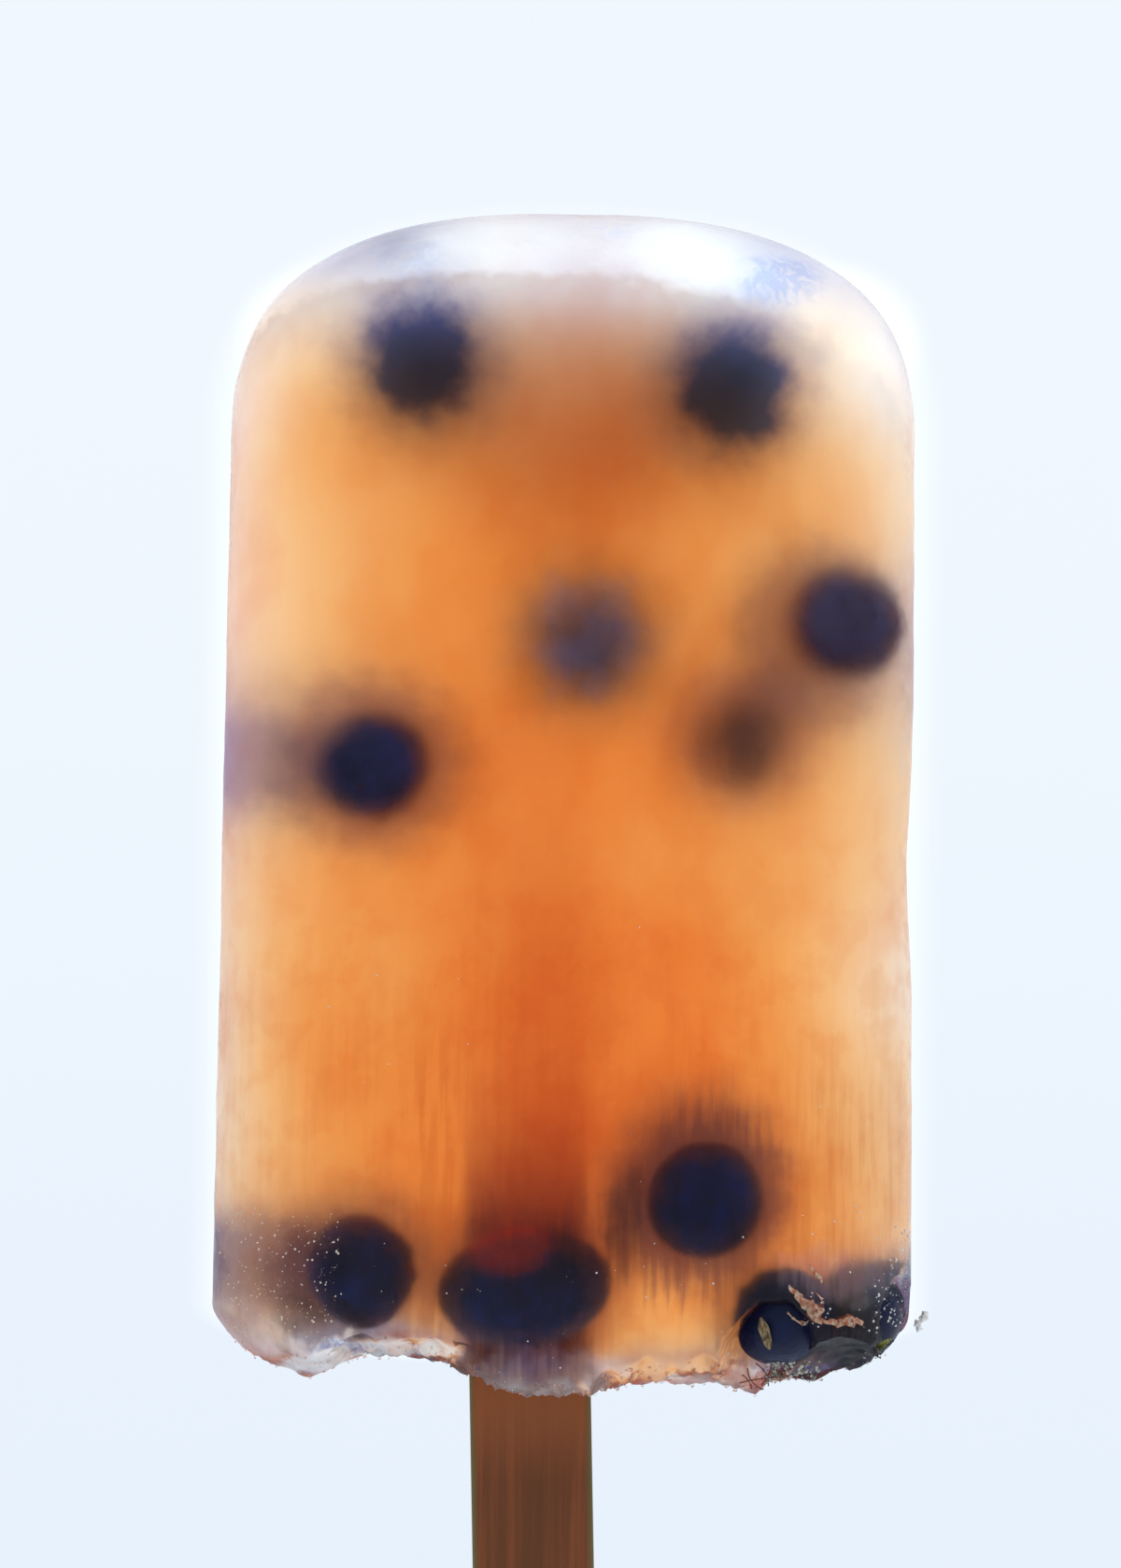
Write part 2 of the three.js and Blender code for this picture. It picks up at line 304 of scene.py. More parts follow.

# Spots in the ice, most of them painted shade (dark halos round the berries, shade between parts,
# the stick's shadow) or painted refracted images of berries, the rest tints of the ice: middle,
# reach, how much of the reach is even, and the share of each colour that gets through each face
SHADE_AND_TINT_SPOTS = (
    ((-12.6, 82.7), (9.4, 9.0), 0.36, (0.34, 0.34, 0.66)),  # painted shade round each berry, softening its edge
    ((12.9, 81.2), (9.4, 9.6), 0.34, (0.34, 0.34, 0.66)),
    ((-12.5, 82.8), (5.9, 6.3), 0.50, (0.06, 0.12, 0.52)),
    ((12.9, 80.8), (5.9, 6.3), 0.50, (0.06, 0.15, 0.66)),
    ((1.4, 60.2), (9.6, 9.6), 0.12, (0.20, 0.38, 1.0)),
    ((20.0, 61.2), (9.1, 9.8), 0.46, (0.44, 0.42, 0.66)),
    ((14.0, 52.6), (8.4, 8.4), 0.30, (0.56, 0.50, 0.95)),
    ((-15.6, 50.0), (10.0, 9.4), 0.46, (0.40, 0.36, 0.72)),
    ((11.0, 15.8), (10.2, 10.6), 0.48, (0.44, 0.42, 0.82)),
    ((11.2, 14.7), (7.8, 9.0), 0.62, (0.42, 0.40, 0.80)),
    ((-3.2, 7.6), (11.4, 8.4), 0.45, (0.38, 0.40, 0.82)),
    ((-16.6, 8.9), (8.6, 8.2), 0.46, (0.38, 0.37, 0.72)),
    ((18.2, 4.4), (8.0, 6.2), 0.50, (0.30, 0.30, 0.50)),
    ((24.4, 0.9), (8.6, 4.4), 0.60, (0.13, 0.16, 0.34)),
    ((28.4, 6.4), (4.4, 6.4), 0.40, (0.27, 0.42, 0.78)),
    ((-25.6, 49.8), (9.0, 6.0), 0.35, (0.56, 0.57, 0.90)),  # painted refracted image of a berry, drawn out to the left side
    ((-21.2, 48.6), (5.5, 6.6), 0.20, (0.70, 0.66, 0.66)),
    ((-22.0, 54.6), (10.0, 5.0), 0.20, (0.80, 0.78, 0.86)),
    # painted refracted image of the lower left berry, drawn out to the left side
    ((-24.2, 8.8), (9.0, 5.8), 0.50, (0.50, 0.49, 0.70)),
    ((-20.6, 8.4), (5.0, 5.6), 0.30, (0.60, 0.56, 0.68)),
    ((-18.8, 4.7), (5.8, 2.5), 0.40, (0.25, 0.26, 0.33)),  # painted shade between a berry and the base
    ((-28.6, 9.4), (1.5, 5.2), 0.30, (0.42, 0.46, 0.70)),
    ((19.0, 55.4), (7.6, 5.6), 0.30, (0.80, 0.74, 0.78)),
    ((0.0, 79.0), (17.0, 17.0), 0.30, (0.77, 0.73, 0.78)),  # painted shade over the shoulder below the tip
    ((1.0, 81.0), (13.5, 13.0), 0.30, (0.84, 0.71, 0.78)),
    ((-27.8, 60.0), (5.0, 30.0), 0.30, (0.98, 0.86, 0.86)),  # the left edge
    ((-1.6, 8.0), (8.5, 24.0), 0.10, (0.80, 0.66, 0.74)),  # painted shadow of the stick in the ice
    ((-1.2, 26.0), (7.4, 24.0), 0.30, (0.88, 0.70, 0.58)),
    # painted shade between the stick and the lower right berry
    ((4.9, 12.8), (2.6, 6.6), 0.20, (0.28, 0.28, 0.52)),
    ((28.6, 7.8), (2.2, 3.2), 0.40, (0.35, 0.58, 0.90)),  # bluer edges of the base
    ((-22.8, 0.9), (3.4, 1.5), 0.40, (0.72, 0.84, 1.0)),
)
SPOT_WANDER = 3.4  # how far noise moves the spots of painted shade and the other marks about
SHADE_SLIP = 1.0  # how far up and down the spots of painted shade end in streaks
SLIP_ASIDE = 0.4  # the share of that to the side
BLUE_CRESTS = (  # berries seen again through the round of the tip and the rim of the base
    ((-13.2, 91.2), (4.4, 2.3), 0.30, (0.82, 0.90, 1.0)),
    ((16.8, 89.5), (4.6, 3.0), 0.30, (0.56, 0.67, 0.95)),
    ((3.0, 93.6), (5.0, 1.3), 0.10, (0.84, 0.89, 1.0)),
    ((-17.4, 3.0), (3.8, 0.8), 0.30, (0.34, 0.42, 0.70)),
)
CLEAR_RIMS = (  # crusts without colour along the base
    ((-14.0, 2.6), (7.4, 1.5), 0.50),
    ((-20.0, 1.4), (4.0, 1.3), 0.50),
    ((-1.5, -0.9), (7.5, 1.9), 0.40),
    ((12.0, -0.1), (7.4, 1.6), 0.50),
    ((16.6, -0.4), (3.4, 1.6), 0.40),
)
VEIL = ((22.6, 9.2), (7.0, 3.0), 0.30)
VEIL_HAZE = 0.22
HAZES = (  # white frost on the front: middle, reach, core, and how much of the light it scatters
    ((-1.3, 0.8), (6.6, 3.0), 0.40, 0.26),
    ((-14.0, 2.6), (7.0, 1.2), 0.50, 0.60),
    ((-20.0, 1.4), (3.8, 1.1), 0.50, 0.55),
    ((12.0, 0.0), (7.0, 1.2), 0.50, 0.30),
    ((-24.0, 9.0), (7.0, 7.5), 0.20, 0.06),
    ((1.3, 60.6), (6.6, 6.6), 0.20, 0.08),
    ((22.0, 63.5), (7.0, 6.0), 0.20, 0.04),
)
HAZE_ALL_OVER = 0.012
HAZE_FRONT = (15.0, 21.0)  # z over which the haze sets in


def clear_tip(look):
    """1 in the body of the ice and 0 in the clear band round the tip."""
    x = look.along("X")
    power = look.ranged(x, *BAND_MIDDLE, *BAND_POWER)
    reach = look.ranged(x, *BAND_MIDDLE, *BAND_REACH)
    across = look.maths("POWER", look.maths("DIVIDE", look.maths("ABSOLUTE", x), reach), power)
    rise = look.maths("DIVIDE", look.maths("SUBTRACT", look.along("Y"), BAND_START), BAND_RISE)
    up = look.maths("POWER", look.maths("MAXIMUM", rise, 0.0), power)
    uneven = look.ranged(look.clouds(1.6), 0.3, 0.7, -BAND_UNEVEN, BAND_UNEVEN)
    far = look.maths("ADD", look.maths("ADD", across, up), uneven)
    return look.ranged(far, *BAND_EDGE)


def marbled(look, body, streaks, patches, mottle):
    """The ice's tint before the spots: patches, small marks, streaks near the base and painted
    shade just below the clear band.
    """
    up = look.along("Y")
    patchy = look.product(look.ranged(patches, 0.40, 0.66), body)
    tint = look.blend(WHITE, PATCH_TINT, patchy)
    mottled = look.product(look.ranged(mottle, 0.45, 0.62), look.ranged(up, 58.0, 30.0))
    tint = look.blend(tint, MOTTLE_TINT, mottled, "MULTIPLY")
    left = look.ranged(look.spot((-10.6, 18.0), (3.6, 15.0), 0.3), 0.0, 1.0, 0.25, 0.65)
    right = look.product(look.spot((21.5, 16.0), (9.0, 15.0), 0.4), 0.65)
    streaked = look.product(
        look.maths("MAXIMUM", left, right),
        look.ranged(streaks, 0.42, 0.66),
        look.ranged(up, 44.0, 24.0),
    )
    tint = look.blend(tint, STREAK_TINT, streaked, "MULTIPLY")
    # painted shade below the clear band, over the body of the ice
    band_shade = look.product(body, look.ranged(up, 80.0, 89.5))
    return look.blend(tint, BAND_SHADE_TINT, band_shade, "MULTIPLY")


def wandering_place(look):
    """The place, moved about by noise, so that what is placed by it has an uneven edge."""
    grain = {"Vector": look.place, "Scale": 0.4, "Detail": 3.0}
    off = look.add("ShaderNodeTexNoise", grain).outputs["Color"]
    off = look.vector("SUBTRACT", off, [0.5] * 3)
    return look.vector("ADD", look.place, look.vector("MULTIPLY", off, [SPOT_WANDER] * 3))


def slip_by(look, streaks):
    """How far the streaks move a spot of painted shade, low down and less so at the left."""
    slip = look.product(
        look.ranged(streaks, 0.3, 0.7, -SHADE_SLIP, SHADE_SLIP),
        look.ranged(look.along("Y"), 45.0, 20.0),
        look.ranged(look.along("X"), -17.0, -9.0, 0.2, 1.0),
    )
    slip = {"X": look.product(slip, SLIP_ASIDE), "Y": slip}
    return look.add("ShaderNodeCombineXYZ", slip).outputs[0]


# multiplies the tint by spots of painted shade, painted images of berries and tints of the ice
def with_spots(look, tint, spots, *strengths):
    for middle, reach, core, through in spots:
        share = look.product(look.spot(middle, reach, core), *strengths)
        tint = look.blend(tint, colour(*through), share, "MULTIPLY")
    return tint


def ice_look():
    look = Look("ice")
    up = look.along("Y")
    body = clear_tip(look)
    streaks = look.clouds(0.7, stretch=(1, 16, 1))
    patches = look.clouds(5.5, stretch=(1, 1.5, 1), shift=(2, 5, 0))
    mottle = look.clouds(2.4, 4.0, stretch=(1, 1.25, 1), shift=(6, 3, 0))
    tint = marbled(look, body, streaks, patches, mottle)
    front = look.ranged(look.along("Z"), *HAZE_FRONT)

    plain, wandering = look.place, wandering_place(look)
    look.place = look.vector("ADD", wandering, slip_by(look, streaks))
    # painted shade round the berries and the stick, and tints of the ice
    tint = with_spots(look, tint, SHADE_AND_TINT_SPOTS)
    look.place = wandering
    rims = [look.spot(*rim) for rim in CLEAR_RIMS]
    for rim in rims:
        tint = look.blend(tint, WHITE, rim)
    ripple = look.ranged(look.clouds(0.7, stretch=(1, 2, 1)), 0.35, 0.62, 0.35, 1.3)
    tint = with_spots(look, tint, BLUE_CRESTS, ripple)
    veil = look.product(look.spot(*VEIL), look.ranged(streaks, 0.35, 0.65, 0.55, 1.2))
    tint = look.blend(tint, VEIL_TINT, look.product(veil, 0.7))
    uneven = look.ranged(mottle, 0.3, 0.7, 0.6, 1.3)
    haze = look.maths("ADD", look.product(uneven, HAZE_ALL_OVER), look.product(veil, VEIL_HAZE))
    for middle, reach, core, share in HAZES:
        spot = look.product(look.spot(middle, reach, core), uneven, share)
        haze = look.maths("ADD", haze, spot)
    haze = look.product(haze, front)
    look.place = plain

    rough = look.product(
        look.ranged(up, 12.0, 74.0, 0.50, 0.92),
        look.ranged(patches, 0.3, 0.7, 0.85, 1.1),
        look.ranged(body, 0.0, 1.0, 0.5, 1.0),
        look.ranged(rims[0], 0.0, 1.0, 1.0, 0.5),
    )
    surface = look.add(
        "ShaderNodeBsdfPrincipled",
        {
            "Base Color": tint,
            "Roughness": rough,
            "IOR": ICE_IOR,
            "Transmission Weight": look.maths("SUBTRACT", 1.0, haze),
            "Normal": look.bump(mottle, 0.12),
        },
    )
    return look.show(surface, absorber(look, ICE_TAKES, ICE_DENSITY))


def heart_look():
    look = Look("amber_heart")
    surface = look.add("ShaderNodeBsdfTransparent")
    return look.show(surface, absorber(look, HEART_TAKES, HEART_DENSITY))


# The berries' skin, with a brownish rim of painted light that softens each berry's outline
SKIN_BLUE = colour(0.005, 0.012, 0.060)
SKIN_BLOOM = colour(0.022, 0.036, 0.120)
SKIN_DUSTY = colour(0.085, 0.052, 0.100)
SKIN_WORN = colour(0.035, 0.012, 0.020)
SKIN_RIM_LIGHT = colour(0.17, 0.065, 0.055)
SKIN_BARE = colour(0.004, 0.009, 0.040)
SKIN_RED = colour(0.62, 0.105, 0.060)
DUSTY_BERRY = ((22.5, 63.0), (7.0, 7.0), 0.5)
BARE_BERRIES = ((20.6, 5.0), (9.0, 8.0), 0.7)
RED_PATCH = ((-4.5, 11.3), (5.0, 3.3), 0.3)


def off_middle(look):
    """How far a point of a berry is from its middle as seen from above: 1 at its rim."""
    own = look.add("ShaderNodeTexCoord").outputs["Generated"]
    off = look.vector("MULTIPLY", look.vector("SUBTRACT", own, [0.5] * 3), (2, 2, 0))
    uneven = look.ranged(look.clouds(1.5, 3.0), 0.3, 0.7, -0.12, 0.12)
    return look.maths("ADD", look.vector("LENGTH", off), uneven)


def berry_look():
    look = Look("blueberry_skin")
    bloom = look.ranged(look.clouds(2.2, 4.0), 0.42, 0.68)
    skin = look.blend(SKIN_BLUE, SKIN_BLOOM, bloom)
    skin = look.blend(skin, SKIN_DUSTY, look.product(look.spot(*DUSTY_BERRY), 0.7))
    wear = look.ranged(look.clouds(1.1, 3.0, shift=(5, 2, 1)), 0.58, 0.72)
    skin = look.blend(skin, SKIN_WORN, wear)
    bare = look.spot(*BARE_BERRIES)
    # painted light: a brownish rim towards each berry's edge as seen from above, except on the bare
    # berries
    rim = look.ranged(off_middle(look), 0.55, 1.05)
    skin = look.blend(skin, SKIN_RIM_LIGHT, look.product(rim, look.maths("SUBTRACT", 1.0, bare)))
    skin = look.blend(skin, SKIN_BARE, look.product(bare, 0.8))
    skin = look.blend(skin, SKIN_RED, look.spot(*RED_PATCH))
    surface = look.add(
        "ShaderNodeBsdfPrincipled",
        {
            "Base Color": skin,
            "Roughness": look.ranged(bloom, 0.0, 1.0, 0.38, 0.62),
            "Specular IOR Level": 0.2,
            "Normal": look.bump(look.clouds(0.5, 3.0), 0.05),
        },
    )
    return look.show(surface)


# The wood, dry outside the ice and soaked in it; in the ice its colour is painted pale, as painted
# light from the ice round it
WOOD_PALE = colour(0.30, 0.090, 0.032)
WOOD_DARK = colour(0.22, 0.068, 0.025)
WOOD_STAINED = colour(0.18, 0.062, 0.022)
WOOD_NEAR_ICE = colour(0.50, 0.150, 0.048)
WOOD_EDGE = colour(0.15, 0.16, 0.060)
WOOD_LIT_IN_ICE = colour(1.0, 0.92, 0.84)
WOOD_EDGE_WIDTH = 0.7


def wood_look():
    look = Look("damp_birch")
    up = look.along("Y")
    grain = look.clouds(0.35, 4.0, stretch=(1, 40, 1))
    broad = look.clouds(2.2, 3.0, stretch=(1, 18, 1), shift=(2, 0, 0))
    dry = look.blend(WOOD_PALE, WOOD_DARK, look.ranged(grain, 0.35, 0.65))
    dry = look.blend(dry, WOOD_STAINED, look.ranged(broad, 0.45, 0.7))
    dry = look.blend(dry, WOOD_NEAR_ICE, look.ranged(up, -10.0, -1.0, 0.0, 0.75))
    lean = look.product(up, math.tan(STICK_LEAN))
    beside = look.maths("ADD", look.maths("SUBTRACT", look.along("X"), STICK_X_AT_BASE), lean)
    half = STICK_WIDTH / 2
    edge = look.ranged(look.maths("ABSOLUTE", beside), half - WOOD_EDGE_WIDTH, half)
    dry = look.blend(dry, WOOD_EDGE, look.product(edge, 0.8))
    # painted light: the wood in the ice turns pale, as if lit by the ice round it
    lit_in_ice = look.ranged(up, 2.0, 24.0)
    wood = look.blend(dry, WOOD_LIT_IN_ICE, lit_in_ice)
    solid = look.add(
        "ShaderNodeBsdfPrincipled",
        {
            "Base Color": wood,
            "Roughness": 0.7,
            "Specular IOR Level": 0.25,
            "Normal": look.bump(grain, 0.04),
        },
    )
    glow = look.add("ShaderNodeBsdfTranslucent", {"Color": wood})
    lit_wood = look.mixed(solid, glow, look.product(lit_in_ice, 0.9))
    clear = look.add("ShaderNodeBsdfTransparent")
    return look.show(look.mixed(lit_wood, clear, look.ranged(up, 4.0, 28.0, 0.0, 0.90)))


# The floor glows, a little brighter beneath the lolly and more so beneath its tip
FLOOR_NEAR = colour(0.80, 0.88, 0.975)
FLOOR_FAR = colour(0.875, 0.935, 1.0)
FLOOR_BENEATH = colour(0.97, 1.03, 1.10)
FLOOR_RANGE = (-40.0, 95.0)  # y at the near and the far colour
BENEATH_EDGE = (1.11, 0.97)  # as shares of the lolly's outline
TIP_GLOWS = (  # middle, reach and colour
    ((0.0, 88.8), (25.0, 7.6), (1.17, 1.32, 1.42)),
    ((-20.5, 86.0), (9.0, 7.0), (1.20, 1.26, 1.32)),
    ((21.5, 86.0), (9.0, 7.6), (1.24, 1.28, 1.34)),
)


def beneath_lolly(look):
    """How far out a point of the floor is, as a share of the lolly's outline."""
    up = look.along("Y")
    reaches = (
        look.maths("DIVIDE", look.maths("ABSOLUTE", look.along("X")), HALF_WIDTH_AT_BASE),
        look.maths("DIVIDE", look.maths("SUBTRACT", up, ICE_LENGTH - TIP_RISE), TIP_RISE),
        look.maths("DIVIDE", look.maths("SUBTRACT", BASE_CORNER, up), BASE_CORNER),
    )
    far = 0.0
    for reach in reaches:
        power = look.maths("POWER", look.maths("MAXIMUM", reach, 0.0), TIP_POWER)
        far = look.maths("ADD", power, far)
    return look.maths("POWER", far, 1 / TIP_POWER)


def floor_look():
    look = Look("pale_floor")
    pale = look.blend(FLOOR_NEAR, FLOOR_FAR, look.ranged(look.along("Y"), *FLOOR_RANGE))
    pale = look.blend(pale, FLOOR_BENEATH, look.ranged(beneath_lolly(look), *BENEATH_EDGE))
    for middle, reach, lit in TIP_GLOWS:
        pale = look.blend(pale, colour(*lit), look.spot(middle, reach, 0.3))
    return look.show(look.add("ShaderNodeEmission", {"Color": pale, "Strength": 1.0}))


# ------------------------------------------------------------------- ice


def thickness_at(y):
    return mix(THICKNESS_AT_BASE, THICKNESS_AT_TIP, y / ICE_LENGTH)


def half_width_at(y):
    return mix(HALF_WIDTH_AT_BASE, HALF_WIDTH_AT_TIP, y / ICE_LENGTH)


def drawn_back(radius, distance):
    """How far a rounded corner has drawn back, at a distance from its end."""
    if distance >= radius:
        return 0.0
    return radius - math.sqrt(radius**2 - (radius - distance) ** 2)


def half_thickness_at(y):
    into = min(1.0, max(0.0, (y - (ICE_LENGTH - TIP_ROUND)) / TIP_ROUND))
    rounded = (1 - into**TIP_ROUND_POWER) ** (1 / TIP_ROUND_POWER)
    return thickness_at(y) / 2 * rounded - drawn_back(BASE_EDGE_ROUND, y)


FACE_STEPS = 76
WALL_STEPS = 8
CORNER_STEPS = 22
BASE_STEPS = 22
SIDE_STEPS = 90
TIP_STEPS = 44
CAP_STEPS = 22


def stations():
    """Cross-sections from base to tip, each as y, half width and half thickness."""
    found = []
    for i in range(BASE_STEPS):
        y = BASE_CORNER * (i / BASE_STEPS) ** 2
        found.append((y, half_width_at(y) - drawn_back(BASE_CORNER, y)))
    shoulder = ICE_LENGTH - TIP_RISE
    for i in range(SIDE_STEPS):
        y = mix(BASE_CORNER, shoulder, i / SIDE_STEPS)
        found.append((y, half_width_at(y)))
    for i in range(TIP_STEPS):
        turn = i / TIP_STEPS * math.pi / 2
        y = shoulder + TIP_RISE * math.sin(turn) ** (2 / TIP_POWER)
        found.append((y, half_width_at(y) * math.cos(turn) ** (2 / TIP_POWER)))
    return [(y, across, half_thickness_at(y)) for y, across in found]


def rounded_box(across, deep, corner):
    """A rounded rectangle in x and z round the origin, always with as many points."""
    radius = min(corner, across, deep)
    flat, wall = across - radius, deep - radius
    points = []

    def line(x0, z0, x1, z1, steps):
        points.extend((mix(x0, x1, i / steps), mix(z0, z1, i / steps)) for i in range(steps))

    def bend(x, z, start):
        for i in range(CORNER_STEPS):
            turn = start + i / CORNER_STEPS * math.pi / 2
            points.append((x + radius * math.cos(turn), z + radius * math.sin(turn)))

    line(-flat, -deep, flat, -deep, FACE_STEPS)
    bend(flat, -wall, -math.pi / 2)
    line(across, -wall, across, wall, WALL_STEPS)
    bend(flat, wall, 0)
    line(flat, deep, -flat, deep, FACE_STEPS)
    bend(-flat, wall, math.pi / 2)
    line(-across, wall, -across, -wall, WALL_STEPS)
    bend(-flat, -wall, math.pi)
    return points


def base_stands_out(x, z):
    bumps = BASE_BUMP * math.sin(0.8 * x + 0.5 * z + 1) * math.sin(0.6 * z - 0.45 * x)
    swells = sum(out * bell(x - middle, width) for middle, width, out in BASE_SWELLS)
    return bumps + swells - BASE_DRAWN_BACK


RAGGED_DEPTH = 0.9
RAGGED_REACH = 3.5
RAGGED_GRAIN = 2.6
WAVES = ((9.0, 0.18), (2.6, 0.05))  # of the front and the sides: length and height
SIDE_ZONE = (22.0, 5.0)  # where the sides' waves set in, from the middle, and over how much
SIDE_DIP = (42.0, 7.0, 0.5)  # in the right side: middle, reach and depth


def weathered(point):
    """Where a point of the plain slab ends up, with the uneven base and a wavy face."""
    x, y, z = point
    place = Vector(point)
    near_base = smooth(1 - y / BASE_RELIEF_REACH)
    ragged = noise.ridged_multi_fractal(
        place / RAGGED_GRAIN, 0.9, 2.1, 4, 1.0, 2.0, noise_basis="PERLIN_ORIGINAL"
    )
    crumbly = RAGGED_DEPTH * (ragged - 1.0) * smooth(1 - y / RAGGED_REACH) * smooth(z / 3)
    y -= base_stands_out(x, z) * near_base + crumbly
    wave = abs(sum(noise.noise(place / length) * height for length, height in WAVES))
    z -= wave * smooth((z - 4) / 12)
    middle, reach, depth = SIDE_DIP
    from_middle, over = SIDE_ZONE
    x -= math.copysign(1.0, x) * wave * smooth((abs(x) - from_middle) / over)
    x -= depth * bell(y - middle, reach) * smooth((x - from_middle) / over)
    return (x, y, z)


def ice_piece(material):
    rings = []
    for y, across, deep in stations():
        middle = thickness_at(y) / 2
        rings.append([(x, y, middle + z) for x, z in rounded_box(across, deep, SIDE_ROUND)])
    base_middle = (0.0, 0.0, THICKNESS_AT_BASE / 2)
    caps = []
    for i in range(1, CAP_STEPS):
        share = i / CAP_STEPS
        caps.append([tuple(mix(m, c, share) for m, c in zip(base_middle, p)) for p in rings[0]])
    tip = (0.0, ICE_LENGTH, thickness_at(ICE_LENGTH) / 2)
    points, faces = loft(caps + rings, base_middle, tip)
    piece = new_object("ice_body", [weathered(p) for p in points], faces, material)
    for chip in CHIPS:
        carve(piece, chip)
    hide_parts("ice")
    return piece


CHIP_ROUGHNESS = ((3.1, 0.05), (9.0, 0.025))  # how fine, and how high as a share of its size


def carve(piece, chip):
    """Breaks a rough scoop off a piece."""
    middle, radii, turn = chip
    cutter_mesh = bpy.data.meshes.new("chip")
    shape = bmesh.new()
    bmesh.ops.create_icosphere(shape, subdivisions=5, radius=1.0)
    spin = Euler((0, 0, math.radians(turn))).to_matrix()
    for vertex in shape.verts:
        rough = 1 + sum(high * noise.noise(vertex.co * fine) for fine, high in CHIP_ROUGHNESS)
        out = spin @ Vector(c * r * rough for c, r in zip(vertex.co, radii))
        vertex.co = in_frame(Vector(middle) + out)
    shape.to_mesh(cutter_mesh)
    shape.free()
    cutter = bpy.data.objects.new("chip", cutter_mesh)
    bpy.context.scene.collection.objects.link(cutter)
    cut = piece.modifiers.new("chip", "BOOLEAN")
    cut.operation = "DIFFERENCE"
    cut.solver = "EXACT"
    cut.object = cutter
    apply_modifiers(piece)
    bpy.data.objects.remove(cutter)


def apply_modifiers(piece):
    bpy.context.view_layer.update()
    graph = bpy.context.evaluated_depsgraph_get()
    final = bpy.data.meshes.new_from_object(piece.evaluated_get(graph))
    piece.modifiers.clear()
    old = piece.data
    piece.data = final
    bpy.data.meshes.remove(old)


# The amber heart: where the sweet tea froze last, thick in the middle and thin at the edges.
# It is drawn in over a run at each end, and its cross-section is a power of the sine.
HEART_START = 1.0
HEART_END = 88.8
HEART_HALF_WIDTH = 28.0
HEART_POWER = (1.4, 1.6)  # at the base and at the tip
HEART_GAP = 0.5
HEART_TIP_RUN = 15.0
HEART_TIP_POWER = 0.7
HEART_BASE_RUN = 6.0
HEART_BASE_CORNER = 7.0
HEART_HOLLOW = (-20.5, 6.0, 0.9)  # drawn back from the base: middle, reach and how far
HEART_SWELLS = (  # middle, reach, and how much thicker or thinner
    ((-17.0, 66.0), (8.0, 10.0), -0.16),
    ((-22.0, 80.0), (5.6, 7.0), 0.50),
    ((26.6, 84.0), (5.6, 7.5), -0.97),
    ((-27.0, 80.0), (2.4, 6.0), -0.90),
    ((-27.2, 20.0), (3.4, 13.0), -0.76),
    ((-28.0, 38.0), (2.2, 14.0), -0.5),
    ((-22.0, 28.0), (5.0, 14.0), 0.22),
    ((11.5, 69.0), (5.0, 8.0), -0.12),
    ((9.0, 43.0), (8.0, 7.0), -0.14),
    ((26.0, 32.0), (5.0, 9.0), -0.55),
    ((-14.0, 34.0), (6.0, 5.0), -0.12),
    ((8.5, 5.0), (6.0, 6.0), -0.3),
    ((-19.5, 0.0), (4.0, 2.2), -0.8),
    ((20.0, 14.0), (6.0, 8.0), 0.2),
    ((27.8, 8.0), (2.6, 4.5), -0.75),
    ((9.0, 25.0), (6.0, 8.0), 0.2),
)
HEART_THINNEST = 0.04
HEART_CLOUDS = 0.10
HEART_CHIP_GAP = 0.7
HEART_AROUND = 180
HEART_RINGS = 130


def heart_share(x, y):
    """How thick the heart is at x and y, as a share of its plain form."""
    swell = sum(more * bell(x - m[0], r[0]) * bell(y - m[1], r[1]) for m, r, more in HEART_SWELLS)
    place = Vector((x / 7, y / 12, 3.0))
    clouds = noise.fractal(place, 0.9, 2.1, 4, noise_basis="PERLIN_ORIGINAL")
    return max(HEART_THINNEST, 1 + swell + HEART_CLOUDS * clouds)


def heart_piece(material):
    rings = []
    for i in range(HEART_RINGS):
        y = mix(HEART_START, HEART_END, (i + 0.5) / HEART_RINGS)
        tip = min(1.0, (HEART_END - y) / HEART_TIP_RUN) ** HEART_TIP_POWER
        base = math.sqrt(1 - (1 - min(1.0, (y - HEART_START) / HEART_BASE_RUN)) ** 2)
        across = HEART_HALF_WIDTH - drawn_back(TIP_ROUND, HEART_END - y)
        across -= drawn_back(HEART_BASE_CORNER, y - HEART_START)
        deep = thickness_at(y) / 2 - HEART_GAP
        power = mix(*HEART_POWER, y / HEART_END)
        near_base = smooth(1 - y / BASE_RELIEF_REACH)
        ring = []
        for k in range(HEART_AROUND):
            turn = math.tau * k / HEART_AROUND
            x = across * math.cos(turn)
            rise = abs(math.sin(turn)) ** power * deep * tip * base
            rise = min(deep, rise * heart_share(x, y))
            z = thickness_at(y) / 2 + math.copysign(rise, math.sin(turn))
            drawn = HEART_HOLLOW[2] * bell(x - HEART_HOLLOW[0], HEART_HOLLOW[1])
            ring.append((x, y + (drawn - base_stands_out(x, z)) * near_base, z))
        rings.append(ring)
    ends = [(0.0, y, thickness_at(y) / 2) for y in (HEART_START, HEART_END)]
    points, faces = loft(rings, *ends)
    piece = new_object("amber_heart", points, faces, material)
    for middle, radii, turn in CHIPS:
        carve(piece, (middle, [r + HEART_CHIP_GAP for r in radii], turn))
    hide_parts("ice")
    return piece


# --------------------------------------------------------------- berries


def berry_turn(turn):
    return Euler([math.radians(t) for t in turn], "ZYX").to_matrix()


